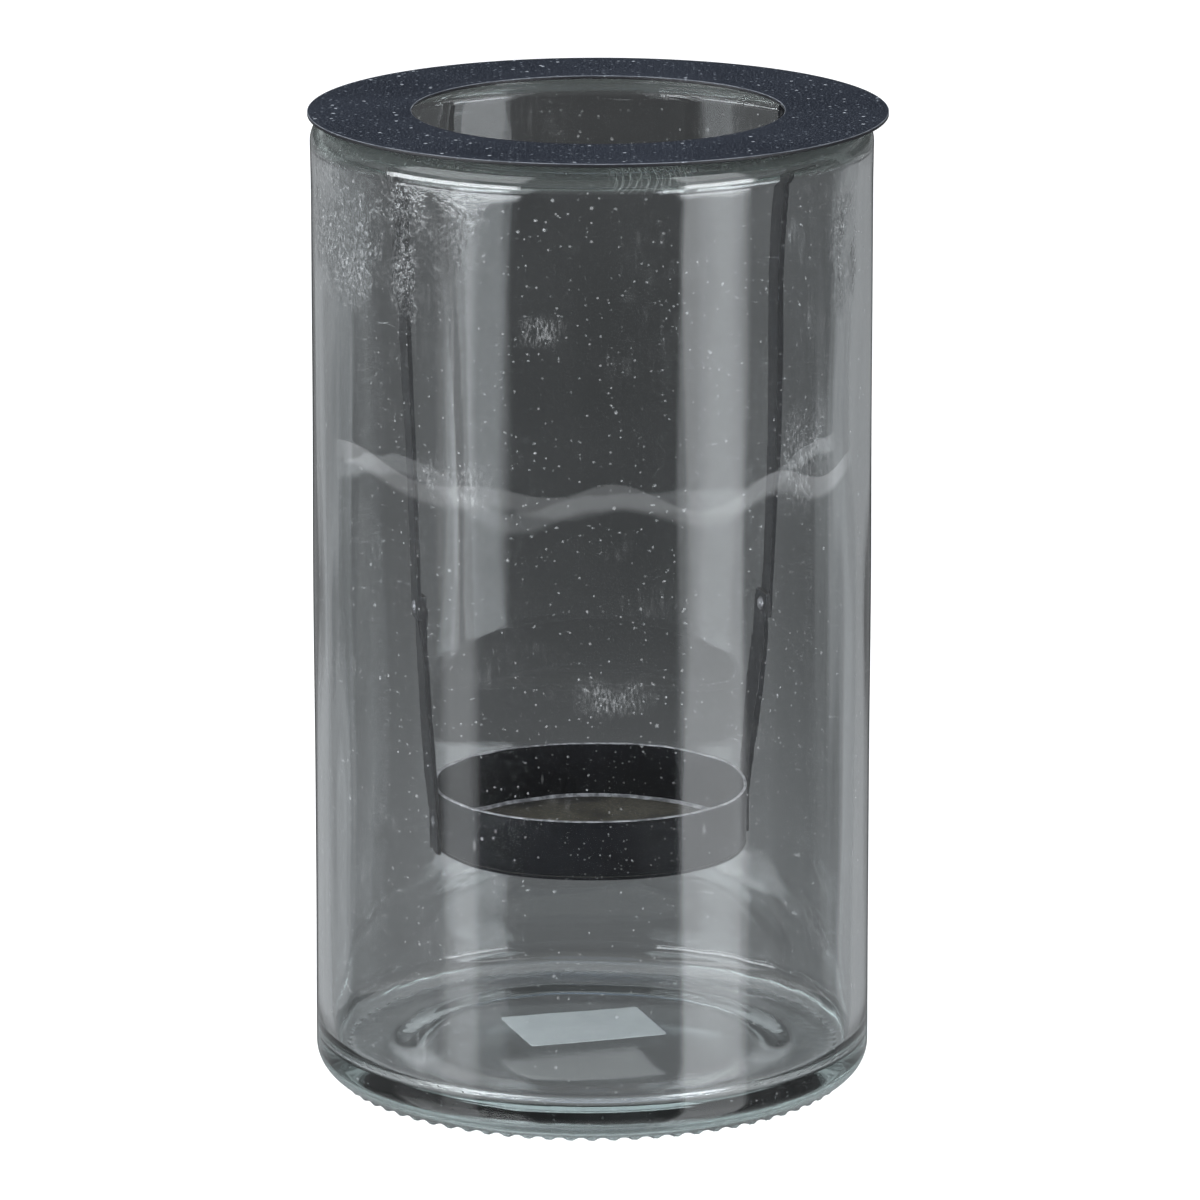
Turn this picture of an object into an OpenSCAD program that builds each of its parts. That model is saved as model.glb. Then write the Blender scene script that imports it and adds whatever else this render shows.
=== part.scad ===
// Hurricane candle lantern.
// A glass cylinder stands on a stippled bearing ring. A flat steel ring lies loose on its rim.
// Two riveted strap hangers, welded under the ring, carry a shallow candle cup in the glass.
// Millimetres, +Z up. Origin: centre of the glass's underside, on the plane it stands on.

/* [Glass] */
// Outside diameter of the glass
glass_d = 120; // [118:1:130]
// Height of the glass
glass_h = 211.2; // [190:0.2:240]
// Thickness of the wall
wall_t = 3.5; // [2.5:0.1:4]
// Radius of the rounded shoulder under the rim
shoulder_r = 5.5; // [4:0.5:6]
// How far the lip turns in from the outside of the glass
lip_w = 9; // [8.5:0.1:9.5]
// Thickness of the lip
lip_t = 3.8; // [3:0.1:4.2]
// Radius of the rounded heel
heel_r = 7; // [5:0.5:9]
// Height of the floor inside the glass
floor_z = 7.4; // [6.4:0.1:10]
// Depth of the recess under the bottom
recess_h = 3; // [1.5:0.1:4]
// Radius of the recess under the bottom, where its sloping flank meets the bearing face
recess_r = 44; // [42:0.5:46]

/* [Bearing nubs] */
// Number of nubs round the heel
nub_count = 76; // [40:1:80]
// Radius of one nub
nub_r = 1; // [0.8:0.1:1.2]
// Height of one nub
nub_h = 1.7; // [1.4:0.1:2.4]

/* [Ring] */
// How far the ring overhangs the glass all round
ring_overhang = 1.8; // [0.5:0.1:4]
// Diameter of the hole in the ring
ring_hole_d = 79.4; // [74:0.2:81]
// Thickness of the ring's sheet
ring_t = 0.8; // [0.6:0.1:1.5]
// How far the ring sits to the right of its hangers
ring_offset = 1.3; // [0:0.1:1.3]

/* [Hangers] */
// Turn of the pair of hangers about the lantern's axis
hanger_turn = 16.5; // [0:0.5:90]
// Width of the strap
strap_w = 6.5; // [5:0.5:8]
// Thickness of the strap
strap_t = 1; // [0.8:0.1:1.2]
// Gap from the glass's lip to the end of the strap's foot
foot_gap = 2; // [1.7:0.1:3]
// Length of the foot welded under the ring
foot_l = 6.4; // [5:0.1:6.6]
// Height of the left rivet above the underside of the cup
left_rivet_up = 55; // [35:0.5:70]
// Height of the right rivet above the underside of the cup
right_rivet_up = 50; // [35:0.5:70]
// Radius from the axis to the joint face of the two straps, at the rivet
lap_r = 38.5; // [37:0.1:39.5]

/* [Candle cup] */
// Outside diameter of the cup
cup_d = 67.4; // [60:0.2:70]
// Height of the cup
cup_h = 13; // [11:0.5:25]
// Height of the cup's underside above the table
cup_z = 51.5; // [35:0.5:70]
// Thickness of the cup's sheet
cup_t = 0.8; // [0.6:0.1:1.2]

/* [Label] */
// Length of the blank paper label
label_l = 31; // [20:0.2:38]
// Width of the blank paper label
label_w = 22.5; // [15:0.5:28]

/* [Hidden] */
$fn = 96;

// Glass
glass_r = glass_d / 2;
inner_r = glass_r - wall_t;
mouth_r = glass_r - lip_w;
cavity_top = glass_h - lip_t;
floor_fillet = 5;
lip_fillet = 3.5;
recess_flat_r = 34;
nub_inset = 4.9;

// Ring
ring_r = glass_r + ring_overhang;

// Hangers
foot_r = mouth_r - foot_gap;
bend_r = 2.2;
top_r = foot_r - foot_l;
lap = 2.6;
kink_below = 8.5;
bend_up = 8.2;
weld_leg = 0.9;
rivet_r = 0.9;
rivet_play = 0.05;
rivet_head_r = 1.5;
rivet_head_h = 0.65;
weld_r = 1.3;
weld_head_h = 0.4;
weld_bite = 0.15;
LEFT = 180 + hanger_turn;
RIGHT = hanger_turn;

// Cup
cup_r = cup_d / 2;
strap_gap = 0.5;
weld_up = 6.5;

// Label
label_t = 0.12;
label_at = [-1.7, 9];
label_turn = 17.5;

// Unit vector along v, and the same turned a quarter to the left
function unit(v) = v / norm(v);
function left_of(v) = [-v[1], v[0]];

// Left-hand normal of the stretch of a path that starts at point i
function normal_at(path, i) = left_of(unit(path[i + 1] - path[i]));

// A path moved d to its left, with mitred corners
function shifted(path, d) = [
    for (i = [0 : len(path) - 1])
        let (last = len(path) - 2,
             before = normal_at(path, max(i - 1, 0)),
             after = normal_at(path, min(i, last)))
        path[i] + d * (before + after) / (1 + before * after)
];

function reversed(path) = [for (i = [len(path) - 1 : -1 : 0]) path[i]];

// The joint face runs straight from the foot's bend through the rivet. Points are [radius, height].
function bend_end() = [top_r, glass_h - bend_r];
function rivet_at(up) = [lap_r, cup_z + up];
function lap_along(up) = unit(rivet_at(up) - bend_end());
function lap_normal(up) = left_of(lap_along(up));

// Inner face of the upper strap: along the foot, round its bend and down past the rivet
function upper_path(up) = concat(
    [[foot_r, glass_h]],
    [for (a = [90 : 15 : 180]) [top_r + bend_r, glass_h - bend_r] + bend_r * [cos(a), sin(a)]],
    [rivet_at(up) + lap * lap_along(up)]
);

// Inner face of the lower strap: behind the joint face, then in to the cup and down to its underside
function lower_path(up) =
    let (behind = rivet_at(up) - strap_t * lap_normal(up))
    [behind - lap * lap_along(up),
     behind + kink_below * lap_along(up),
     [cup_r + strap_gap, cup_z + bend_up],
     [cup_r + strap_gap, cup_z]];

// A rectangle from the axis out to r, whose outer corners are rounded below and above
module rounded_half(r, low, high, fillet_low, fillet_high) {
    translate([0, low + fillet_low])
        square([r, high - low - fillet_low - fillet_high]);
    translate([0, low])
        square([r - fillet_low, fillet_low + 1]);
    translate([0, high - fillet_high - 1])
        square([r - fillet_high, fillet_high + 1]);
    translate([r - fillet_low, low + fillet_low])
        circle(fillet_low);
    translate([r - fillet_high, high - fillet_high])
        circle(fillet_high);
}

module glass_profile() {
    difference() {
        rounded_half(glass_r, 0, glass_h, heel_r, shoulder_r);
        rounded_half(inner_r, floor_z, cavity_top, floor_fillet, lip_fillet);
        translate([0, cavity_top - 1])
            square([mouth_r + lip_t / 2, lip_t + 2]);
        polygon([[0, -1],
                 [recess_r, -1],
                 [recess_r, 0],
                 [recess_flat_r, recess_h],
                 [0, recess_h]]);
    }
    translate([mouth_r + lip_t / 2, glass_h - lip_t / 2])
        circle(lip_t / 2);
}

module glass_cylinder() {
    color([0.62, 0.68, 0.68, 0.4])
    union() {
        rotate_extrude()
            glass_profile();
        for (i = [0 : nub_count - 1])
            rotate([0, 0, i * 360 / nub_count])
                translate([glass_r - nub_inset, 0, 0])
                    cylinder(h = nub_h, r = nub_r, $fn = 24);
    }
}

module base_label() {
    color([0.66, 0.69, 0.69])
    translate([label_at[0], label_at[1], recess_h - label_t / 2])
        rotate([0, 0, label_turn])
            cube([label_l, label_w, label_t], center = true);
}

module ring_plate() {
    color([0.16, 0.17, 0.21])
    translate([ring_offset, 0, glass_h])
        difference() {
            cylinder(h = ring_t, r = ring_r, $fn = 180);
            translate([0, 0, -1])
                cylinder(h = ring_t + 2, d = ring_hole_d, $fn = 180);
        }
}

// A strap's outline swept across its width, in the hanger plane at angle side
module strip(side, path) {
    rotate([0, 0, side])
        rotate([90, 0, 0])
            translate([0, 0, -strap_w / 2])
                linear_extrude(strap_w)
                    polygon(concat(path, reversed(shifted(path, strap_t))));
}

// Places children on the joint face at the rivet, with +Z outward through the straps
module at_rivet(side, up) {
    rotate([0, 0, side])
        translate([rivet_at(up)[0], 0, rivet_at(up)[1]])
            rotate([0, atan2(lap_normal(up)[0], lap_normal(up)[1]), 0])
                children();
}

// Places children on the strap's inner face at the cup, with +Z outward
module at_cup_weld(side) {
    rotate([0, 0, side])
        translate([cup_r + strap_gap, 0, cup_z + weld_up])
            rotate([0, 90, 0])
                children();
}

module upper_strap(side, up) {
    color([0.1, 0.1, 0.11])
    difference() {
        strip(side, upper_path(up));
        at_rivet(side, up)
            translate([0, 0, -strap_t])
                cylinder(h = 3 * strap_t, r = rivet_r + rivet_play, $fn = 32);
    }
}

module lower_strap(side, up) {
    color([0.1, 0.1, 0.11])
    difference() {
        strip(side, lower_path(up));
        at_rivet(side, up)
            translate([0, 0, -2 * strap_t])
                cylinder(h = 3 * strap_t, r = rivet_r + rivet_play, $fn = 32);
        at_cup_weld(side)
            translate([0, 0, -strap_t])
                cylinder(h = 3 * strap_t, r = weld_r + rivet_play, $fn = 32);
    }
}

module left_upper_strap() {
    upper_strap(LEFT, left_rivet_up);
}

module right_upper_strap() {
    upper_strap(RIGHT, right_rivet_up);
}

module left_lower_strap() {
    lower_strap(LEFT, left_rivet_up);
}

module right_lower_strap() {
    lower_strap(RIGHT, right_rivet_up);
}

// A shallow dome of radius r and height h, standing on the plane z = 0
module dome(r, h) {
    sphere_r = (r * r + h * h) / (2 * h);
    rotate_extrude($fn = 48)
        intersection() {
            translate([0, h - sphere_r])
                circle(sphere_r, $fn = 96);
            square([r, h]);
        }
}

module rivet() {
    translate([0, 0, -strap_t])
        cylinder(h = 2 * strap_t, r = rivet_r, $fn = 32);
    translate([0, 0, strap_t])
        dome(rivet_head_r, rivet_head_h);
    translate([0, 0, -strap_t])
        mirror([0, 0, 1])
            dome(rivet_head_r, rivet_head_h);
}

module lap_rivets() {
    color([0.3, 0.3, 0.31]) {
        at_rivet(LEFT, left_rivet_up)
            rivet();
        at_rivet(RIGHT, right_rivet_up)
            rivet();
    }
}

// Plug weld that fills the hole in the strap and bites into the cup's wall behind it
module plug_weld() {
    translate([0, 0, -strap_gap - weld_bite])
        cylinder(h = strap_gap + weld_bite + strap_t, r = weld_r, $fn = 32);
    translate([0, 0, strap_t])
        dome(weld_r, weld_head_h);
}

module cup_welds() {
    color([0.3, 0.3, 0.31])
    for (side = [LEFT, RIGHT])
        at_cup_weld(side)
            plug_weld();
}

// Fillet welds between the ends of the strap's feet and the ring above them
module foot_welds() {
    color([0.25, 0.25, 0.26])
    for (side = [LEFT, RIGHT])
        rotate([0, 0, side])
            rotate([90, 0, 0])
                translate([0, 0, -strap_w / 2])
                    linear_extrude(strap_w)
                        polygon([[foot_r, glass_h - weld_leg],
                                 [foot_r + weld_leg, glass_h],
                                 [foot_r, glass_h]]);
}

module cup_wall() {
    color([0.1, 0.1, 0.11])
    translate([0, 0, cup_z + cup_t])
        difference() {
            cylinder(h = cup_h - cup_t, r = cup_r, $fn = 120);
            translate([0, 0, -1])
                cylinder(h = cup_h + 2, r = cup_r - cup_t, $fn = 120);
        }
}

module cup_base() {
    color([0.13, 0.12, 0.12])
    translate([0, 0, cup_z])
        cylinder(h = cup_t, r = cup_r, $fn = 120);
}

glass_cylinder();
base_label();
ring_plate();
foot_welds();
left_upper_strap();
right_upper_strap();
left_lower_strap();
right_lower_strap();
lap_rivets();
cup_welds();
cup_wall();
cup_base();
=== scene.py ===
"""Looks of the hurricane candle lantern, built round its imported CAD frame. Metres, +Z up."""

import math

import bmesh
import bpy
import numpy as np
from mathutils import Matrix, Vector


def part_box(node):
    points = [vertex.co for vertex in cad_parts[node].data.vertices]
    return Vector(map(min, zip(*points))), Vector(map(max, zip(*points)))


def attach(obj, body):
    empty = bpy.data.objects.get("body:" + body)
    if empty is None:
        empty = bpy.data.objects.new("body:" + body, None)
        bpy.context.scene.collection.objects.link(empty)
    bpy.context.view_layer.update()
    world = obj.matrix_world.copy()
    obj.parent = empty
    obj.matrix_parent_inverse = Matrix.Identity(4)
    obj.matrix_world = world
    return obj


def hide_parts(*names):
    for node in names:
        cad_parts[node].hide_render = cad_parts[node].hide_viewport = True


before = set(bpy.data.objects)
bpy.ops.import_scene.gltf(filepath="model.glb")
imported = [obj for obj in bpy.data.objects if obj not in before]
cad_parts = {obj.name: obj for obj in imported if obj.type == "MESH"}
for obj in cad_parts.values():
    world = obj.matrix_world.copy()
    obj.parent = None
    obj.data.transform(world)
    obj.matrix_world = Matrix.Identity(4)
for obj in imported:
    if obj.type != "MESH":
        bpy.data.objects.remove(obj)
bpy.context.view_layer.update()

MM = 0.001

# ---------------------------------------------------------------- driving sizes

glass_low, glass_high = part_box("glass_cylinder")
GLASS_R = (glass_high.x - glass_low.x) / 2
GLASS_H = glass_high.z
WALL_T = 3.5 * MM
SHOULDER_R = 5.5 * MM
LIP_W = 9 * MM
LIP_T = 3.8 * MM
LIP_FILLET = 3.5 * MM
HEEL_R = 6.5 * MM
HEEL_Z = 0.35 * MM
RIM_GAP = 0.08 * MM
FLOOR_Z = 7.4 * MM
FLOOR_FILLET = 5 * MM
FLOOR_DOME = 0.5 * MM
RECESS_R = 44 * MM
RECESS_EDGE_R = RECESS_R + 1 * MM
RECESS_FLAT_R = 34 * MM
RECESS_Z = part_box("base_label")[1].z
INNER_R = GLASS_R - WALL_T
FLOOR_FLAT_R = INNER_R - FLOOR_FILLET
MOUTH_R = GLASS_R - LIP_W

NUB_COUNT = 76
NUB_INSET = 4.6 * MM
NUB_H = 0.65 * MM
NUB_ARC = 0.85 * MM
NUB_SHIFT = 0.4 * NUB_ARC
NUB_WIDTH = 0.42 * MM
NUB_CUT = 0.2 * MM
SEGMENTS_PER_NUB = 8

LABEL_CORNER = 1 * MM
GLUE_SINK = 0.01 * MM

SHEET_EDGE = 0.18 * MM
STRAP_EDGE = 0.17 * MM
STRAP_BEND = 0.9 * MM
FIXING_EDGE = 0.06 * MM
BEAD_R = 0.7 * MM
BEAD_BITE = 0.02 * MM
RING_SEGMENTS = 256
CUP_SEGMENTS = 192

# ---------------------------------------------------------------- camera

CAMERA_AT = (0.001719, -1.788742, 0.544604)
CAMERA_DOWN = 0.24121
CAMERA_LENS = 256.48
CAMERA_SENSOR = 36
CAMERA_CLIP = (0.05, 50)


def make_camera():
    data = bpy.data.cameras.new("camera")
    data.lens = CAMERA_LENS
    data.sensor_width = CAMERA_SENSOR
    data.clip_start, data.clip_end = CAMERA_CLIP
    camera = bpy.data.objects.new("camera", data)
    camera.location = CAMERA_AT
    camera.rotation_euler = (math.pi / 2 - CAMERA_DOWN, 0, 0)
    bpy.context.scene.collection.objects.link(camera)
    bpy.context.scene.camera = camera


# ---------------------------------------------------------------- node helpers


def add(tree, kind, inputs=None, output=0, **settings):
    """Adds a node, sets or links its inputs by name or index, and returns one of its outputs."""
    made = tree.nodes.new(kind)
    for name, value in settings.items():
        setattr(made, name, value)
    for key, value in (inputs or {}).items():
        if isinstance(value, bpy.types.NodeSocket):
            tree.links.new(value, made.inputs[key])
        else:
            made.inputs[key].default_value = value
    return made.outputs[output]


def math_node(tree, operation, a, b=0.0):
    return add(tree, "ShaderNodeMath", {0: a, 1: b}, operation=operation)


def times(tree, a, b):
    return math_node(tree, "MULTIPLY", a, b)


def sum_of(tree, values):
    total = values[0]
    for value in values[1:]:
        total = math_node(tree, "ADD", total, value)
    return total


def weighted(tree, parts):
    """The sum of parts, a list of (value, weight)."""
    return sum_of(tree, [times(tree, value, weight) for value, weight in parts])


def mix_colour(tree, factor, a, b):
    return add(tree, "ShaderNodeMix", {0: factor, 6: a, 7: b}, output=2, data_type="RGBA")


def mix_value(tree, factor, a, b):
    return add(tree, "ShaderNodeMix", {0: factor, 2: a, 3: b}, data_type="FLOAT")


def spread(tree, value, low, high, to_low=0.0, to_high=1.0, smooth=True):
    """Maps value from low..high to to_low..to_high, clamped."""
    return add(tree, "ShaderNodeMapRange",
               {"Value": value, "From Min": low, "From Max": high,
                "To Min": to_low, "To Max": to_high},
               interpolation_type="SMOOTHSTEP" if smooth else "LINEAR")


def own_place(tree):
    """The piece's own coordinates, which are the frame's."""
    return add(tree, "ShaderNodeTexCoord", output="Object")


def bearing(tree, at):
    """Radians to the right of the front round the vertical axis, and height."""
    split = tree.nodes.new("ShaderNodeSeparateXYZ")
    tree.links.new(at, split.inputs[0])
    x, y, z = split.outputs
    return math_node(tree, "ARCTAN2", x, times(tree, y, -1.0)), z


def facing_up(tree):
    """How far the surface faces up, from -1 to 1."""
    normal = add(tree, "ShaderNodeNewGeometry", output="Normal")
    return add(tree, "ShaderNodeSeparateXYZ", {0: normal}, output="Z")


def stretched(tree, stretch):
    """The piece's own coordinates, stretched."""
    return add(tree, "ShaderNodeMapping", {"Vector": own_place(tree), "Scale": stretch})


def grain(tree, size, detail=2.0, stretch=(1, 1, 1), rough=0.5):
    """Noise from 0 to 1 whose features are about size metres across."""
    return add(tree, "ShaderNodeTexNoise",
               {"Vector": stretched(tree, stretch), "Scale": 1 / size, "Detail": detail,
                "Roughness": rough})


def specks(tree, pitch, size, stretch=(1, 1, 1)):
    """1 in small dots scattered about pitch metres apart, 0 between them. Half the cells of the
    pattern have a dot."""
    cells = tree.nodes.new("ShaderNodeTexVoronoi")
    tree.links.new(stretched(tree, stretch), cells.inputs["Vector"])
    cells.inputs["Scale"].default_value = 1 / pitch
    keep = add(tree, "ShaderNodeSeparateColor", {0: cells.outputs["Color"]})
    dot = spread(tree, cells.outputs["Distance"], size / pitch, 0.5 * size / pitch)
    return times(tree, dot, spread(tree, keep, 0.5, 0.55))


def bump(tree, height, strength, depth):
    return add(tree, "ShaderNodeBump",
               {"Height": height, "Strength": strength, "Distance": depth})


def new_material(name):
    material = bpy.data.materials.new(name)
    material.use_nodes = True
    tree = material.node_tree
    tree.nodes.clear()
    return material, tree


def show(tree, surface, volume=None):
    out = tree.nodes.new("ShaderNodeOutputMaterial")
    tree.links.new(surface, out.inputs["Surface"])
    if volume is not None:
        tree.links.new(volume, out.inputs["Volume"])


# ---------------------------------------------------------------- the glass's material

GLASS_IOR = 1.5
GLASS_FACE = (0.97, 0.98, 0.985, 1)
GLASS_RIM = (0.90, 0.965, 0.94, 1)
GLASS_DEEP = (0.30, 0.72, 0.66, 1)
GLASS_DENSITY = 4.5
HEEL_ROUGHNESS = 0.20

# Patches of the wall as ((degrees right of the front, height), (half width, half height)).
PEEL = [((-58, 191 * MM), (36, 20 * MM)), ((-30, 196 * MM), (10, 12 * MM)),
        ((64, 188 * MM), (9, 18 * MM))]
WIPED = [((-29, 142 * MM), (11, 7 * MM)), ((51, 145 * MM), (10, 15 * MM)),
         ((4, 98 * MM), (9, 5 * MM)), ((-10, 176 * MM), (6, 4 * MM))]
SCRATCHED = ((13, 207.6 * MM), (11, 2.6 * MM))
SCRATCH_PITCH = 1.5
SCRATCH_BOW = 0.25 / (MM * MM)

# The share of the light that each kind of mark on the glass scatters, where it is strongest.
SMEAR_SHARE = 0.08
MILKY_SHARE = 0.045
WIPED_SHARE = 0.17
PEEL_SHARE = 0.17
SCRATCH_SHARE = 0.12
RIM_SHARE = 0.02
FILM_SHARE = 0.003
GRIT_SHARE = 0.007
DUST_SHARE = 0.15

# Heights of the glass's fine relief, as multiples of RELIEF_DEPTH.
RELIEF_DEPTH = 0.2 * MM
PEEL_RELIEF = 2.0
FINE_RELIEF = 0.004
DRAWN_RELIEF = 0.10
HEEL_RELIEF = 1.6


def on_wall(tree):
    """Degrees round the glass, to the right of its front, and height above the table."""
    turn, height = bearing(tree, own_place(tree))
    return times(tree, turn, 180 / math.pi), height


def patch(tree, turn, height, centre, half, soft):
    """1 inside a soft-edged patch of the wall, 0 outside; centre and half are (degrees, metres)."""
    across = math_node(tree, "ABSOLUTE", math_node(tree, "SUBTRACT", turn, centre[0]))
    up = math_node(tree, "ABSOLUTE", math_node(tree, "SUBTRACT", height, centre[1]))
    inside = spread(tree, across, half[0], half[0] * (1 - soft))
    return times(tree, inside, spread(tree, up, half[1], half[1] * (1 - soft)))


def patches(tree, turn, height, places, soft):
    return sum_of(tree, [patch(tree, turn, height, at, half, soft) for at, half in places])


def scratches(tree, turn, height):
    """A row of short curved scratches round part of the shoulder."""
    centre, half = SCRATCHED
    up = math_node(tree, "SUBTRACT", height, centre[1])
    bow = times(tree, times(tree, up, up), SCRATCH_BOW)
    wander = spread(tree, grain(tree, 6 * MM, 1), 0.3, 0.7, 0.0, 1.5)
    phase = math_node(tree, "DIVIDE", sum_of(tree, [turn, bow, wander]), SCRATCH_PITCH)
    off = math_node(tree, "SUBTRACT", math_node(tree, "FRACT", phase), 0.5)
    thin = spread(tree, math_node(tree, "ABSOLUTE", off), 0.11, 0.03)
    return times(tree, thin, patch(tree, turn, height, centre, half, 0.4))


def clear_glass():
    """Slightly green soda glass with smears, dust, scratches and an uneven, pressed skin."""
    material, tree = new_material("clear_glass")
    turn, height = on_wall(tree)

    # Orange-peel skin left by the mould, and fine matt patches where the glass was wiped.
    broken = spread(tree, grain(tree, 9 * MM, 3, (1, 1, 0.6)), 0.38, 0.62)
    skin = grain(tree, 1.0 * MM, 2, rough=0.75)
    peel = times(tree, patches(tree, turn, height, PEEL, 0.7), broken)
    peel_dots = times(tree, peel, spread(tree, skin, 0.50, 0.70))
    hatch = spread(tree, grain(tree, 0.5 * MM, 2, (1, 1, 0.35), 0.7), 0.45, 0.7)
    wiped = times(tree, patches(tree, turn, height, WIPED, 0.8), broken)
    wiped = times(tree, wiped, hatch)

    # Smears, a thin film, grit and dust; the thick rim is greener and less clear.
    rim = spread(tree, height, GLASS_H - 6.5 * MM, GLASS_H - 4.5 * MM)
    smear = spread(tree, grain(tree, 28 * MM, 5, (1, 1, 1.6), 0.62), 0.56, 0.78)
    streaks = spread(tree, grain(tree, 1.2 * MM, 3, (1, 1, 0.12)), 0.45, 0.8)
    smear = times(tree, smear, streaks)
    film = spread(tree, grain(tree, 60 * MM, 3), 0.35, 0.75, 0.0, FILM_SHARE)
    grit = spread(tree, grain(tree, 0.4 * MM, 1, rough=0.8), 0.52, 0.8, 0.0, GRIT_SHARE)
    fine_dust = specks(tree, 2.2 * MM, 0.32 * MM)
    dust = math_node(tree, "MAXIMUM", fine_dust, specks(tree, 7 * MM, 0.50 * MM))

    # The heel is stippled, so it is uneven and a little milky.
    flat = add(tree, "ShaderNodeVectorMath", {0: own_place(tree), 1: (1, 1, 0)},
               operation="MULTIPLY")
    reach = add(tree, "ShaderNodeVectorMath", {0: flat}, output=1, operation="LENGTH")
    low = spread(tree, height, 6.5 * MM, 4.0 * MM)
    heel = times(tree, low, spread(tree, reach, RECESS_R, RECESS_R + 3 * MM))
    milky = times(tree, low, spread(tree, reach, GLASS_R - 9 * MM, GLASS_R - 5 * MM))

    marks = weighted(tree, [(smear, SMEAR_SHARE), (milky, MILKY_SHARE), (wiped, WIPED_SHARE),
                            (peel_dots, PEEL_SHARE),
                            (scratches(tree, turn, height), SCRATCH_SHARE), (rim, RIM_SHARE)])
    marks = sum_of(tree, [marks, film, grit])
    marks = math_node(tree, "MAXIMUM", marks, times(tree, dust, DUST_SHARE))
    fine = grain(tree, 0.55 * MM, 2, rough=0.7)
    drawn = grain(tree, 2.0 * MM, 3, (1, 1, 0.03))
    uneven = times(tree, grain(tree, 2.5 * MM, 3), heel)
    relief = weighted(tree, [(times(tree, skin, peel), PEEL_RELIEF), (fine, FINE_RELIEF),
                             (drawn, DRAWN_RELIEF), (uneven, HEEL_RELIEF)])
    surface = add(tree, "ShaderNodeBsdfPrincipled",
                  {"Base Color": mix_colour(tree, rim, GLASS_FACE, GLASS_RIM),
                   "Roughness": times(tree, heel, HEEL_ROUGHNESS),
                   "IOR": GLASS_IOR,
                   "Transmission Weight": math_node(tree, "SUBTRACT", 1.0, marks),
                   "Normal": bump(tree, relief, 0.25, RELIEF_DEPTH)})
    volume = add(tree, "ShaderNodeVolumeAbsorption",
                 {"Color": GLASS_DEEP, "Density": GLASS_DENSITY})
    show(tree, surface, volume)
    return material


# ---------------------------------------------------------------- metal and paper

RING_DEEP = (0.009, 0.012, 0.020, 1)
RING_CLOUD = (0.017, 0.021, 0.031, 1)
RING_GRAIN = (0.085, 0.095, 0.115, 1)
RING_SPECK = (0.20, 0.22, 0.25, 1)
RING_FLECK = (0.55, 0.58, 0.62, 1)
RING_SCUFF = (0.12, 0.13, 0.15, 1)
# Painted highlight on the corner round the top of the ring.
RING_CORNER_HIGHLIGHT = (0.20, 0.21, 0.23, 1)
# Painted shade on the ring's side and underside.
RING_SHADE_BELOW = (0.006, 0.006, 0.008, 1)
BLACK_DEEP = (0.002, 0.0023, 0.003, 1)
BLACK_CLOUD = (0.004, 0.0044, 0.0055, 1)
BLACK_SPECK = (0.07, 0.07, 0.07, 1)
LINT = (0.10, 0.10, 0.10, 1)
BROWN_DUST = (0.092, 0.084, 0.066, 1)
# Edge colours: partly worn coat, partly a painted highlight along the rounded corners.
EDGE_HIGHLIGHT_DULL = (0.07, 0.07, 0.075, 1)
EDGE_HIGHLIGHT_BARE = (0.26, 0.26, 0.27, 1)
STEEL_COATED = (0.02, 0.02, 0.022, 1)
STEEL_BARE = (0.15, 0.15, 0.16, 1)
PAPER_GREY = (0.51, 0.53, 0.535, 1)
PAPER_PALE = (0.56, 0.58, 0.585, 1)
PAPER_FIBRE = (0.45, 0.475, 0.485, 1)


def ring_coat():
    """Blue-black powder coat with a fine texture and pale specks, with a painted highlight along
    the corner round its top and painted shade on its side and underside.
    """
    material, tree = new_material("ring_coat")
    cloud = spread(tree, grain(tree, 22 * MM, 4), 0.3, 0.7)
    colour = mix_colour(tree, cloud, RING_DEEP, RING_CLOUD)
    texture = grain(tree, 0.50 * MM, 2, rough=0.8)
    colour = mix_colour(tree, spread(tree, texture, 0.52, 0.64), colour, RING_GRAIN)
    colour = mix_colour(tree, specks(tree, 1.5 * MM, 0.38 * MM), colour, RING_SPECK)
    colour = mix_colour(tree, specks(tree, 3.4 * MM, 0.50 * MM), colour, RING_FLECK)
    scuff = spread(tree, grain(tree, 9 * MM, 5, rough=0.7), 0.66, 0.74, 0.0, 0.25)
    colour = mix_colour(tree, scuff, colour, RING_SCUFF)
    # A painted highlight, uneven along its length, lies on the corner round the top, and painted
    # shade darkens the side and the underside.
    up = facing_up(tree)
    corner = times(tree, spread(tree, up, 0.35, 0.6), spread(tree, up, 0.99, 0.93))
    corner_highlight = times(tree, corner, spread(tree, grain(tree, 5 * MM, 3), 0.3, 0.6, 0.45, 1.0))
    colour = mix_colour(tree, corner_highlight, colour, RING_CORNER_HIGHLIGHT)
    colour = mix_colour(tree, spread(tree, up, 0.30, 0.05), colour, RING_SHADE_BELOW)
    surface = add(tree, "ShaderNodeBsdfPrincipled",
                  {"Base Color": colour,
                   "Specular IOR Level": 0.35,
                   "Roughness": spread(tree, texture, 0.3, 0.7, 0.42, 0.60),
                   "Normal": bump(tree, texture, 0.7, 0.10 * MM)})
    show(tree, surface)
    return material


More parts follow.
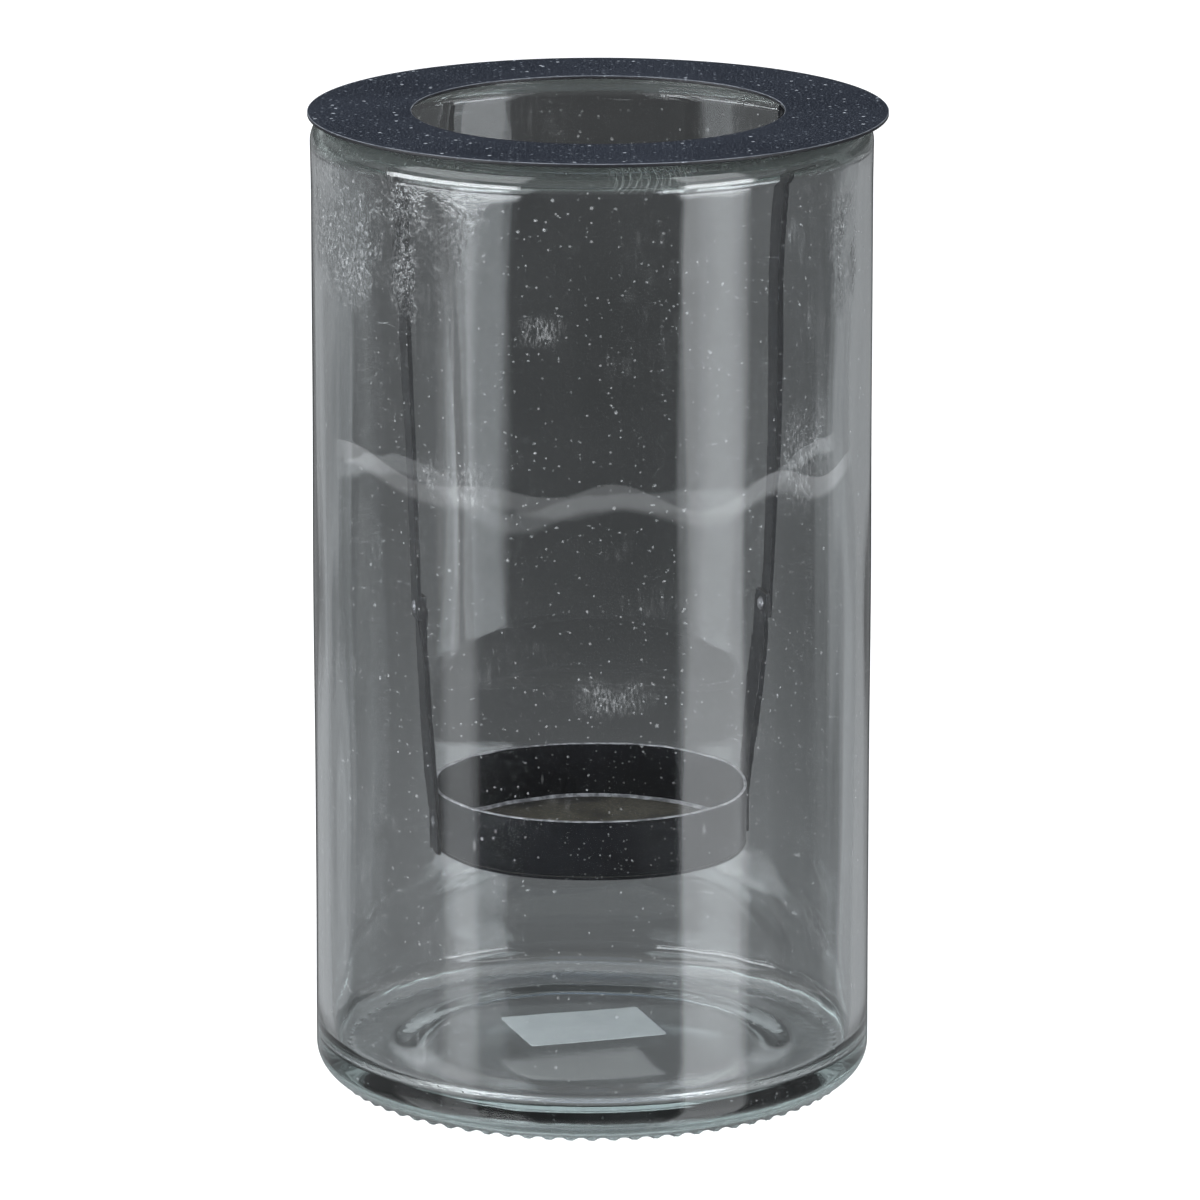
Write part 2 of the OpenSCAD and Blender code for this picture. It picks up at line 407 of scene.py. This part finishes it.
def black_coat(name, dusty):
    """Satin black coat; dusty, from 0 to 1, is how much lint and brown dust lie on it."""
    material, tree = new_material(name)
    cloud = spread(tree, grain(tree, 9 * MM, 4), 0.3, 0.7)
    colour = mix_colour(tree, cloud, BLACK_DEEP, BLACK_CLOUD)
    colour = mix_colour(tree, specks(tree, 1.3 * MM, 0.28 * MM), colour, BLACK_SPECK)
    lint = times(tree, specks(tree, 6 * MM, 0.7 * MM, (1, 1, 0.35)), dusty)
    colour = mix_colour(tree, lint, colour, LINT)
    lying = times(tree, spread(tree, facing_up(tree), 0.5, 0.95), dusty)
    fine = spread(tree, grain(tree, 0.7 * MM, 4, rough=0.8), 0.38, 0.66, 0.2, 1.0)
    drift = spread(tree, grain(tree, 14 * MM, 3), 0.35, 0.58, 0.3, 1.0)
    dust = times(tree, lying, times(tree, fine, drift))
    colour = mix_colour(tree, dust, colour, BROWN_DUST)
    texture = grain(tree, 0.35 * MM, 3)
    rough = spread(tree, texture, 0.3, 0.7, 0.34, 0.50)
    surface = add(tree, "ShaderNodeBsdfPrincipled",
                  {"Base Color": colour,
                   "Specular IOR Level": 0.04,
                   "Roughness": mix_value(tree, dust, rough, 0.8),
                   "Normal": bump(tree, texture, 0.35, 0.06 * MM)})
    show(tree, surface)
    return material


def edge_wear_and_highlight():
    """Rounded corners of the black sheet, lighter than its face: partly worn, thin coat, and partly
    a painted highlight.
    """
    material, tree = new_material("edge_wear_and_highlight")
    wear = spread(tree, grain(tree, 2.5 * MM, 4, rough=0.7), 0.38, 0.6)
    surface = add(tree, "ShaderNodeBsdfPrincipled",
                  {"Base Color": mix_colour(tree, wear, EDGE_HIGHLIGHT_DULL, EDGE_HIGHLIGHT_BARE),
                   "Roughness": spread(tree, wear, 0, 1, 0.42, 0.32),
                   "Normal": bump(tree, grain(tree, 0.4 * MM, 2), 0.3, 0.05 * MM)})
    show(tree, surface)
    return material


def weld_steel():
    """Dull steel of the rivets and welds, with black coat left in the hollows."""
    material, tree = new_material("weld_steel")
    wear = spread(tree, grain(tree, 0.9 * MM, 4, rough=0.7), 0.40, 0.58)
    surface = add(tree, "ShaderNodeBsdfPrincipled",
                  {"Base Color": mix_colour(tree, wear, STEEL_COATED, STEEL_BARE),
                   "Metallic": spread(tree, wear, 0, 1, 0.1, 0.6),
                   "Roughness": spread(tree, wear, 0, 1, 0.5, 0.3),
                   "Normal": bump(tree, grain(tree, 0.5 * MM, 3), 0.5, 0.08 * MM)})
    show(tree, surface)
    return material


def label_paper():
    """Blank matt paper with a faint mottle and a fibre grain."""
    material, tree = new_material("label_paper")
    fibre = grain(tree, 0.5 * MM, 4, rough=0.7)
    mottle = spread(tree, grain(tree, 6 * MM, 3), 0.3, 0.7)
    colour = mix_colour(tree, mottle, PAPER_GREY, PAPER_PALE)
    colour = mix_colour(tree, spread(tree, fibre, 0.45, 0.8, 0, 0.4), colour, PAPER_FIBRE)
    surface = add(tree, "ShaderNodeBsdfPrincipled",
                  {"Base Color": colour, "Roughness": 0.85,
                   "Normal": bump(tree, fibre, 0.3, 0.05 * MM)})
    show(tree, surface)
    return material


# ---------------------------------------------------------------- mesh helpers

ON_AXIS = 1e-9
SAME_PLACE = 1e-6
FLAT_ANGLE = math.radians(1)
BEND_ANGLES = (math.radians(3), math.radians(13))
CORNER_ANGLE = math.radians(50)


def new_object(name, materials, bm):
    """Links a bmesh to the scene as an object, and frees it."""
    mesh = bpy.data.meshes.new(name)
    bm.to_mesh(mesh)
    bm.free()
    for material in materials:
        mesh.materials.append(material)
    made = bpy.data.objects.new(name, mesh)
    bpy.context.scene.collection.objects.link(made)
    return made


def new_piece(name, body, materials, bm):
    """Links a bmesh as a shown piece that rides on body."""
    piece = new_object(name, materials, bm)
    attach(piece, body)
    return piece


def arc(centre, radius, start, end, steps):
    """Points on an arc, in (radius, height), from start to end degrees."""
    turns = [math.radians(start + (end - start) * i / steps) for i in range(steps + 1)]
    return [(centre[0] + radius * math.cos(t), centre[1] + radius * math.sin(t)) for t in turns]


def line(start, end, steps):
    """Points inside the stretch from start to end, without its ends."""
    return [tuple(s + (e - s) * i / steps for s, e in zip(start, end)) for i in range(1, steps)]


def lathe(outline, segments, centre=(0.0, 0.0), closed=False, shift=None):
    """A smooth bmesh turned about a vertical axis. outline is (radius, height) points; those on the
    axis become poles. shift(point, angle) may move a point, in (radius, height)."""
    bm = bmesh.new()
    rings = []
    for point in outline:
        if point[0] < ON_AXIS:
            rings.append([bm.verts.new((centre[0], centre[1], point[1]))])
            continue
        ring = []
        for k in range(segments):
            turn = 2 * math.pi * k / segments
            r, z = shift(point, turn) if shift else point
            x = centre[0] + r * math.cos(turn)
            y = centre[1] + r * math.sin(turn)
            ring.append(bm.verts.new((x, y, z)))
        rings.append(ring)
    following = rings[1:] + rings[:1] if closed else rings[1:]
    for low, high in zip(rings, following):
        for k in range(segments):
            j = (k + 1) % segments
            quad = [low[k % len(low)], low[j % len(low)], high[j % len(high)], high[k % len(high)]]
            face = bm.faces.new(list(dict.fromkeys(quad)))
            face.smooth = True
    bmesh.ops.recalc_face_normals(bm, faces=bm.faces)
    return bm


def radii(node):
    """Centre, smallest and largest radius of a round CAD node about its own vertical axis."""
    low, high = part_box(node)
    centre = (low + high) / 2
    points = [v.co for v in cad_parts[node].data.vertices]
    spans = [math.hypot(p.x - centre.x, p.y - centre.y) for p in points]
    return centre, min(spans), max(spans)


def rounded(bm, edges, offset, segments):
    """Rounds off edges of a bmesh, and returns the faces made."""
    made = bmesh.ops.bevel(bm, geom=edges, offset=offset, segments=segments, profile=0.5,
                           affect="EDGES", clamp_overlap=True)
    return made["faces"]


def refined(node, body, materials, edge, bend=0.0):
    """A copy of a CAD node with rounded corners, and with its slight bends eased over bend. Faces
    of the corners take the last material."""
    bm = bmesh.new()
    bm.from_mesh(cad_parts[node].data)
    bmesh.ops.remove_doubles(bm, verts=bm.verts, dist=SAME_PLACE)
    bmesh.ops.dissolve_limit(bm, angle_limit=FLAT_ANGLE, verts=bm.verts, edges=bm.edges)
    for face in bm.faces:
        face.material_index = 0
    if bend:
        bent = [e for e in bm.edges if BEND_ANGLES[0] < e.calc_face_angle(0) < BEND_ANGLES[1]]
        rounded(bm, bent, bend, 4)
    sharp = [e for e in bm.edges if e.calc_face_angle(0) > CORNER_ANGLE]
    for face in rounded(bm, sharp, edge, 2):
        face.material_index = len(materials) - 1
    for face in bm.faces:
        face.smooth = True
    bmesh.ops.recalc_face_normals(bm, faces=bm.faces)
    piece = new_piece(node + "_finished", body, materials, bm)
    even = piece.modifiers.new("even", "WEIGHTED_NORMAL")
    even.keep_sharp = True
    bake_modifiers(piece)
    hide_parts(node)


def bake_modifiers(piece):
    """Applies a piece's modifiers to its mesh."""
    graph = bpy.context.evaluated_depsgraph_get()
    made = bpy.data.meshes.new_from_object(piece.evaluated_get(graph))
    piece.modifiers.clear()
    piece.data = made


# ---------------------------------------------------------------- the glass


def wave(modes, turn, height):
    """A sum of slow waves round and up the glass: (turns, waves, phase, size) each."""
    return sum(size * math.cos(turns * turn + phase + 2 * math.pi * waves * height / GLASS_H)
               for turns, waves, phase, size in modes)


def random_modes(seed, count, turns, waves, size):
    """Modes drawn at random from the given ranges, smaller as they get finer."""
    draw = np.random.default_rng(seed)
    made = []
    for _ in range(count):
        around = int(draw.integers(*turns))
        up = float(draw.uniform(*waves))
        phase = float(draw.uniform(0, 2 * math.pi))
        made.append((around, up, phase, size / (1 + 0.15 * around + abs(up))))
    return made


# The waves of the wall's outer face, and of its inner face, which also has finer ribs.
OUTER_MODES = random_modes(3, 12, (2, 13), (-3.5, 3.5), 0.09 * MM)
INNER_MODES = (random_modes(5, 10, (1, 12), (-3.0, 3.0), 0.06 * MM)
               + random_modes(8, 8, (18, 60), (-0.8, 0.8), 0.035 * MM))
# The waves fade out over these heights above the heel and below the shoulder.
WAVES_FADE_LOW = 30 * MM
WAVES_FADE_HIGH = 10 * MM
# A point of the section this near to a face of the wall is taken to lie on it.
FACE_DEPTH = 0.1 * MM


def glass_outline():
    """The closed section of the glass, from the middle of its floor round to the recess. Its rim
    stops a hair below the ring, so that light stays in the glass there."""
    top = GLASS_H - RIM_GAP
    inner_top = top - LIP_T
    nose = (MOUTH_R + LIP_T / 2, top - LIP_T / 2)
    points = [(0, FLOOR_Z + FLOOR_DOME)]
    points += [(share * FLOOR_FLAT_R, FLOOR_Z + FLOOR_DOME * (1 - share ** 2))
               for share in np.linspace(0.1, 1, 9)[:-1]]
    points += arc((FLOOR_FLAT_R, FLOOR_Z + FLOOR_FILLET), FLOOR_FILLET, -90, 0, 9)
    points += line((INNER_R, FLOOR_Z + FLOOR_FILLET), (INNER_R, inner_top - LIP_FILLET), 42)
    points += arc((INNER_R - LIP_FILLET, inner_top - LIP_FILLET), LIP_FILLET, 0, 90, 8)
    points += arc(nose, LIP_T / 2, 270, 90, 10)
    points += arc((GLASS_R - SHOULDER_R, top - SHOULDER_R), SHOULDER_R, 90, 0, 12)
    points += line((GLASS_R, top - SHOULDER_R), (GLASS_R, HEEL_R + HEEL_Z), 50)
    points += arc((GLASS_R - HEEL_R, HEEL_R + HEEL_Z), HEEL_R, 0, -90, 24)
    points += line((GLASS_R - HEEL_R, HEEL_Z), (RECESS_EDGE_R, HEEL_Z), 10)
    # The flank of the recess eases out of the bearing face and into the flat.
    for share in np.linspace(0, 1, 13):
        ease = share * share * (3 - 2 * share)
        r = RECESS_EDGE_R + (RECESS_FLAT_R - RECESS_EDGE_R) * share
        points.append((r, HEEL_Z + (RECESS_Z - HEEL_Z) * ease))
    points += [(r, RECESS_Z) for r in np.linspace(0.9, 0.1, 6) * RECESS_FLAT_R]
    points += [(0, RECESS_Z)]
    return points


def nub_height(radius, turn):
    """Height of the crescent nubs that ring the heel, at a radius and an angle."""
    step = 2 * math.pi / NUB_COUNT
    off = (turn + step / 2) % step - step / 2
    across = off * (GLASS_R - NUB_INSET)
    out = radius - (GLASS_R - NUB_INSET) + NUB_SHIFT
    reach = math.hypot(across, out)
    ridge = math.exp(-((reach - NUB_ARC) / NUB_WIDTH) ** 2)
    half = 1 / (1 + math.exp(-out / NUB_CUT))
    return NUB_H * ridge * half


def glass_shift(point, turn):
    """Moves a point of the section: nubs under the heel, slow waves on both faces of the wall."""
    r, z = point
    if z < HEEL_R / 2 and r > RECESS_EDGE_R + 1 * MM:
        return r, max(z - nub_height(r, turn), 0.0)
    calm = min(1.0, max(0.0, (z - HEEL_R - FLOOR_FILLET) / WAVES_FADE_LOW))
    calm *= min(1.0, max(0.0, (GLASS_H - SHOULDER_R - z) / WAVES_FADE_HIGH))
    if r > GLASS_R - FACE_DEPTH:
        return r + calm * wave(OUTER_MODES, turn, z), z
    if r > INNER_R - FACE_DEPTH:
        return r + calm * wave(INNER_MODES, turn, z), z
    return point


def make_glass():
    bm = lathe(glass_outline(), NUB_COUNT * SEGMENTS_PER_NUB, shift=glass_shift)
    piece = new_piece("glass_body", "glass", [clear_glass()], bm)
    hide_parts("glass_cylinder")
    piece.visible_shadow = False


def make_label():
    """The label node keeps its place, and becomes a sheet of paper with rounded corners."""
    low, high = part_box("base_label")
    corners = [v.co.copy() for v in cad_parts["base_label"].data.vertices]
    centre = (low + high) / 2
    right = max(corners, key=lambda c: c.x)
    top = max(corners, key=lambda c: c.y)
    bottom = min(corners, key=lambda c: c.y)
    length = (Vector((right.x, right.y)) - Vector((bottom.x, bottom.y))).length
    width = (Vector((right.x, right.y)) - Vector((top.x, top.y))).length
    turn = math.atan2(right.y - bottom.y, right.x - bottom.x)
    thick = high.z - low.z
    bm = bmesh.new()
    outline = rounded_box(length, width, LABEL_CORNER, 5)
    lower = [bm.verts.new((x, y, -thick / 2)) for x, y in outline]
    upper = [bm.verts.new((x, y, thick / 2)) for x, y in outline]
    bm.faces.new(upper)
    bm.faces.new(list(reversed(lower)))
    for i, _ in enumerate(outline):
        j = (i + 1) % len(outline)
        bm.faces.new([lower[i], lower[j], upper[j], upper[i]])
    # A hair of the paper sits inside the glass, as glue would hold it.
    sink = Vector((0, 0, GLUE_SINK))
    bm.transform(Matrix.Translation(centre + sink) @ Matrix.Rotation(turn, 4, "Z"))
    piece = new_piece("label_sheet", "glass", [label_paper()], bm)
    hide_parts("base_label")


def rounded_box(length, width, radius, steps):
    """Points round a rectangle with rounded corners, centred on the origin."""
    points = []
    for quarter, (sx, sy) in enumerate([(1, 1), (-1, 1), (-1, -1), (1, -1)]):
        centre = (sx * (length / 2 - radius), sy * (width / 2 - radius))
        points += arc(centre, radius, 90 * quarter, 90 * quarter + 90, steps)
    return points


# ---------------------------------------------------------------- the metal holder


def flat_ring(inner, outer, low, high, edge):
    """The closed section of a flat ring with rounded corners."""
    points = arc((outer - edge, low + edge), edge, -90, 0, 3)
    points += arc((outer - edge, high - edge), edge, 0, 90, 3)
    points += line((outer, high), (inner, high), 8)
    points += arc((inner + edge, high - edge), edge, 90, 180, 3)
    points += arc((inner + edge, low + edge), edge, 180, 270, 3)
    points += line((inner, low), (outer, low), 8)
    return points


def make_ring():
    low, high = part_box("ring_plate")
    centre, hole, outside = radii("ring_plate")
    section = flat_ring(hole, outside, low.z, high.z, SHEET_EDGE)
    bm = lathe(section, RING_SEGMENTS, centre.xy, closed=True)
    piece = new_piece("ring_sheet", "holder", [ring_coat()], bm)
    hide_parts("ring_plate")


def make_cup():
    coat = black_coat("cup_coat", 1.0)
    edge = edge_wear_and_highlight()
    low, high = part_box("cup_wall")
    centre, inner, outer = radii("cup_wall")
    section = flat_ring(inner, outer, low.z, high.z, SHEET_EDGE)
    bm = lathe(section, CUP_SEGMENTS, centre.xy, closed=True)
    # The rim takes the edge colour: worn coat and a painted highlight.
    wear_and_highlight_above(bm, high.z - SHEET_EDGE)
    wall = new_piece("cup_band", "holder", [coat, edge], bm)
    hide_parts("cup_wall")

    # The disc of the floor, with a bead round it where it meets the band. The bead takes the edge
    # colour: worn coat and a painted highlight.
    floor_low, floor_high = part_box("cup_base")
    top, bottom = floor_high.z, floor_low.z
    bead = inner - BEAD_R
    corner = outer - SHEET_EDGE
    outline = [(0, top)] + line((0, top), (bead, top), 12)
    outline += arc((bead, top + BEAD_R), BEAD_R, -90, -8, 4)
    outline += [(inner + BEAD_BITE, top + 0.85 * BEAD_R), (inner + BEAD_BITE, top)]
    outline += arc((corner, top - SHEET_EDGE), SHEET_EDGE, 90, 0, 3)
    outline += arc((corner, bottom + SHEET_EDGE), SHEET_EDGE, 0, -90, 3)
    outline += line((corner, bottom), (0, bottom), 6) + [(0, bottom)]
    bm = lathe(outline, CUP_SEGMENTS, centre.xy)
    wear_and_highlight_above(bm, top + 0.01 * MM)
    base = new_piece("cup_disc", "holder", [coat, edge], bm)
    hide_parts("cup_base")


def wear_and_highlight_above(bm, height):
    """Gives the second material, the edge colour of worn coat and painted highlight, to the faces
    above a height.
    """
    for face in bm.faces:
        if face.calc_center_median().z > height:
            face.material_index = 1


def make_hangers():
    coat = black_coat("strap_coat", 0.25)
    edge = edge_wear_and_highlight()
    steel = weld_steel()
    # The straps' rounded corners take the edge colour: worn coat and a painted highlight.
    for node in ("left_upper_strap", "right_upper_strap", "left_lower_strap", "right_lower_strap"):
        refined(node, "holder", [coat, edge], STRAP_EDGE, STRAP_BEND)
    for node in ("lap_rivets", "cup_welds", "foot_welds"):
        refined(node, "holder", [steel], FIXING_EDGE)


# ---------------------------------------------------------------- studio

# Brightness all round, by degrees to the right of the camera's side: a softbox at the front right
# and a narrower one at the front left, a dim wall at the left, and dim panels at the back.
STUDIO = [(-180, 0.046), (-171, 0.046), (-164, 0.37), (-153, 0.36), (-132, 0.25), (-122, 0.13),
          (-110, 0.34), (-66, 0.46), (-63, 1.45), (-51, 1.45), (-48, 0.12), (-36, 0.046),
          (37.5, 0.046), (39.5, 2.4), (66, 2.4), (68.5, 0.40), (80, 0.38), (90, 0.18), (120, 0.15),
          (129, 0.32), (156, 0.30), (164, 0.28), (171, 0.046), (180, 0.046)]
# The same higher up, where both softboxes are brighter and the left one is wide.
HIGH = [(-180, 0.05), (-92, 0.05), (-86, 3.6), (-31, 3.6), (-27, 0.06), (36, 0.06),
        (39.5, 4.2), (66, 4.2), (70, 0.08), (180, 0.05)]
# The same in a narrow band along the horizon, where bright tubes cross both softboxes.
TUBES = [(-180, 0.05), (-92, 0.05), (-86, 16), (-31, 16), (-28, 0.16), (36, 0.16),
         (39, 16), (66, 16), (70, 0.10), (180, 0.05)]
# Where each of these fades in, as the sine of the angle above the horizon.
TUBES_FOOT = (-0.10, -0.04)
TUBES_TOP = (0.15, 0.10)
HIGH_FADE = (0.30, 0.38)
CEILING_FADE = (0.86, 0.94)
BELOW_FADE = (-0.45, -0.80)
STUDIO_PEAK = 16
STUDIO_TINT = (0.94, 0.97, 1.0)
CEILING = (0.40, 0.52, 0.72)
BELOW = (0.17, 0.17, 0.165)
PALE = (1.0, 1.0, 1.0, 1)

FLOOR_SIZE = 4.0
FLOOR_GREY = (0.45, 0.45, 0.45, 1)
FLOOR_GLOW = 0.75

# The table top, its bright edge, and a faint veil of light that fades out from the lantern.
TABLE_R = 0.67
TABLE_EDGE = 0.03
TABLE_Z = -1.6 * MM
TABLE_SHINE = 0.45
TABLE_ROUGHNESS = 0.13
EDGE_GLOW = 1.6
EDGE_FRONT = (math.radians(130), math.radians(110))
EDGE_MAX_FACES = 2.5
VEIL_GLOW = 0.058
VEIL_REACH = (0.15, 0.52)

OVERHEAD_AT = (0.0, 0.0, 1.5)
OVERHEAD_SIZE = (1.4, 1.4)
OVERHEAD_POWER = 6


def scaled(colour):
    """A colour of the studio as the ramps hold it, below STUDIO_PEAK."""
    return [c / STUDIO_PEAK for c in colour] + [1]


def panels(tree, share, levels):
    """The brightness of levels, a list of (degrees, brightness), at share of the way round."""
    ramp = tree.nodes.new("ShaderNodeValToRGB")
    tree.links.new(share, ramp.inputs[0])
    stops = ramp.color_ramp.elements
    for i, (degrees, level) in enumerate(levels):
        at = (degrees + 180) / 360
        if i == 0:
            stop = stops[0]
        elif i == len(levels) - 1:
            stop = stops[len(stops) - 1]
        else:
            stop = stops.new(at)
        stop.position = at
        stop.color = [level / STUDIO_PEAK * c for c in STUDIO_TINT] + [1]
    return ramp.outputs[0]


def make_world():
    """Pale backdrop where the camera sees it, and the dark studio of STUDIO in every reflection."""
    world = bpy.data.worlds.new("studio")
    world.use_nodes = True
    tree = world.node_tree
    tree.nodes.clear()
    turn, z = bearing(tree, add(tree, "ShaderNodeTexCoord", output="Generated"))
    share = spread(tree, turn, -math.pi, math.pi, smooth=False)
    low, high, tubes = [panels(tree, share, levels) for levels in (STUDIO, HIGH, TUBES)]
    band = times(tree, spread(tree, z, *TUBES_FOOT), spread(tree, z, *TUBES_TOP))
    colour = mix_colour(tree, spread(tree, z, *HIGH_FADE), low, high)
    colour = mix_colour(tree, band, colour, tubes)
    colour = mix_colour(tree, spread(tree, z, *CEILING_FADE), colour, scaled(CEILING))
    colour = mix_colour(tree, spread(tree, z, *BELOW_FADE), colour, scaled(BELOW))
    dark = add(tree, "ShaderNodeBackground", {"Color": colour, "Strength": STUDIO_PEAK})
    pale = add(tree, "ShaderNodeBackground", {"Color": PALE, "Strength": 1.0})
    seen = add(tree, "ShaderNodeLightPath", output="Is Camera Ray")
    both = add(tree, "ShaderNodeMixShader", {0: seen, 1: dark, 2: pale})
    out = tree.nodes.new("ShaderNodeOutputWorld")
    tree.links.new(both, out.inputs["Surface"])
    bpy.context.scene.world = world


def make_floor():
    """A plain pale floor. Rays that the glass bends or mirrors pass through it to the studio."""
    material, tree = new_material("floor_pale")
    path = tree.nodes.new("ShaderNodeLightPath")
    glossy, bent = path.outputs["Is Glossy Ray"], path.outputs["Is Transmission Ray"]
    passing = math_node(tree, "MAXIMUM", glossy, bent)
    matt = add(tree, "ShaderNodeBsdfDiffuse", {"Color": FLOOR_GREY})
    glow = add(tree, "ShaderNodeEmission", {"Color": PALE, "Strength": FLOOR_GLOW})
    pale = add(tree, "ShaderNodeAddShader", {0: matt, 1: glow})
    clear = add(tree, "ShaderNodeBsdfTransparent")
    show(tree, add(tree, "ShaderNodeMixShader", {0: passing, 1: pale, 2: clear}))
    bm = bmesh.new()
    bmesh.ops.create_grid(bm, x_segments=4, y_segments=4, size=FLOOR_SIZE)
    floor = new_object("floor", [material], bm)


def make_table():
    """The dark table top that the glass mirrors, with a bright edge except at the back. Only
    mirrored and bent rays see it."""
    material, tree = new_material("table_top")
    at = own_place(tree)
    reach = add(tree, "ShaderNodeVectorMath", {0: at}, output=1, operation="LENGTH")
    turn, _ = bearing(tree, at)
    front = spread(tree, math_node(tree, "ABSOLUTE", turn), *EDGE_FRONT)
    edge = spread(tree, reach, TABLE_R - TABLE_EDGE, TABLE_R - 0.6 * TABLE_EDGE)
    veil = spread(tree, reach, *VEIL_REACH, VEIL_GLOW, 0.0)
    # The edge shows only where no more than two faces of glass lie before it.
    faces = add(tree, "ShaderNodeLightPath", output="Transmission Depth")
    shown = math_node(tree, "LESS_THAN", faces, EDGE_MAX_FACES)
    edge = times(tree, times(tree, edge, front), shown)
    level = add(tree, "ShaderNodeMath", {0: edge, 1: EDGE_GLOW, 2: veil},
                operation="MULTIPLY_ADD")
    glow = add(tree, "ShaderNodeEmission", {"Color": (*STUDIO_TINT, 1), "Strength": level})
    clear = add(tree, "ShaderNodeBsdfTransparent")
    gloss = add(tree, "ShaderNodeBsdfGlossy",
                {"Color": (1, 1, 1, 1), "Roughness": TABLE_ROUGHNESS})
    polished = add(tree, "ShaderNodeMixShader", {0: TABLE_SHINE, 1: clear, 2: gloss})
    show(tree, add(tree, "ShaderNodeAddShader", {0: glow, 1: polished}))
    outline = [(r, TABLE_Z) for r in (0.0, 0.05, 0.3, TABLE_R)]
    table = new_object("table", [material], lathe(outline, 128))
    table.visible_camera = False
    table.visible_diffuse = False
    table.visible_shadow = False


def softbox(name, at, size, power):
    """A rectangular area light that faces the middle of the lantern and shows in nothing."""
    data = bpy.data.lights.new(name, "AREA")
    data.shape = "RECTANGLE"
    data.size, data.size_y = size
    data.energy = power
    light = bpy.data.objects.new(name, data)
    light.location = at
    aim = Vector((0, 0, GLASS_H / 2)) - Vector(at)
    light.rotation_euler = aim.to_track_quat("-Z", "Y").to_euler()
    bpy.context.scene.collection.objects.link(light)
    light.visible_camera = False
    light.visible_transmission = False
    light.visible_glossy = False


def make_lights():
    softbox("overhead", OVERHEAD_AT, OVERHEAD_SIZE, OVERHEAD_POWER)


# ---------------------------------------------------------------- build

make_camera()
make_world()
make_lights()
make_floor()
make_table()
make_glass()
make_label()
make_ring()
make_cup()
make_hangers()
bpy.context.scene.view_settings.view_transform = "Standard"
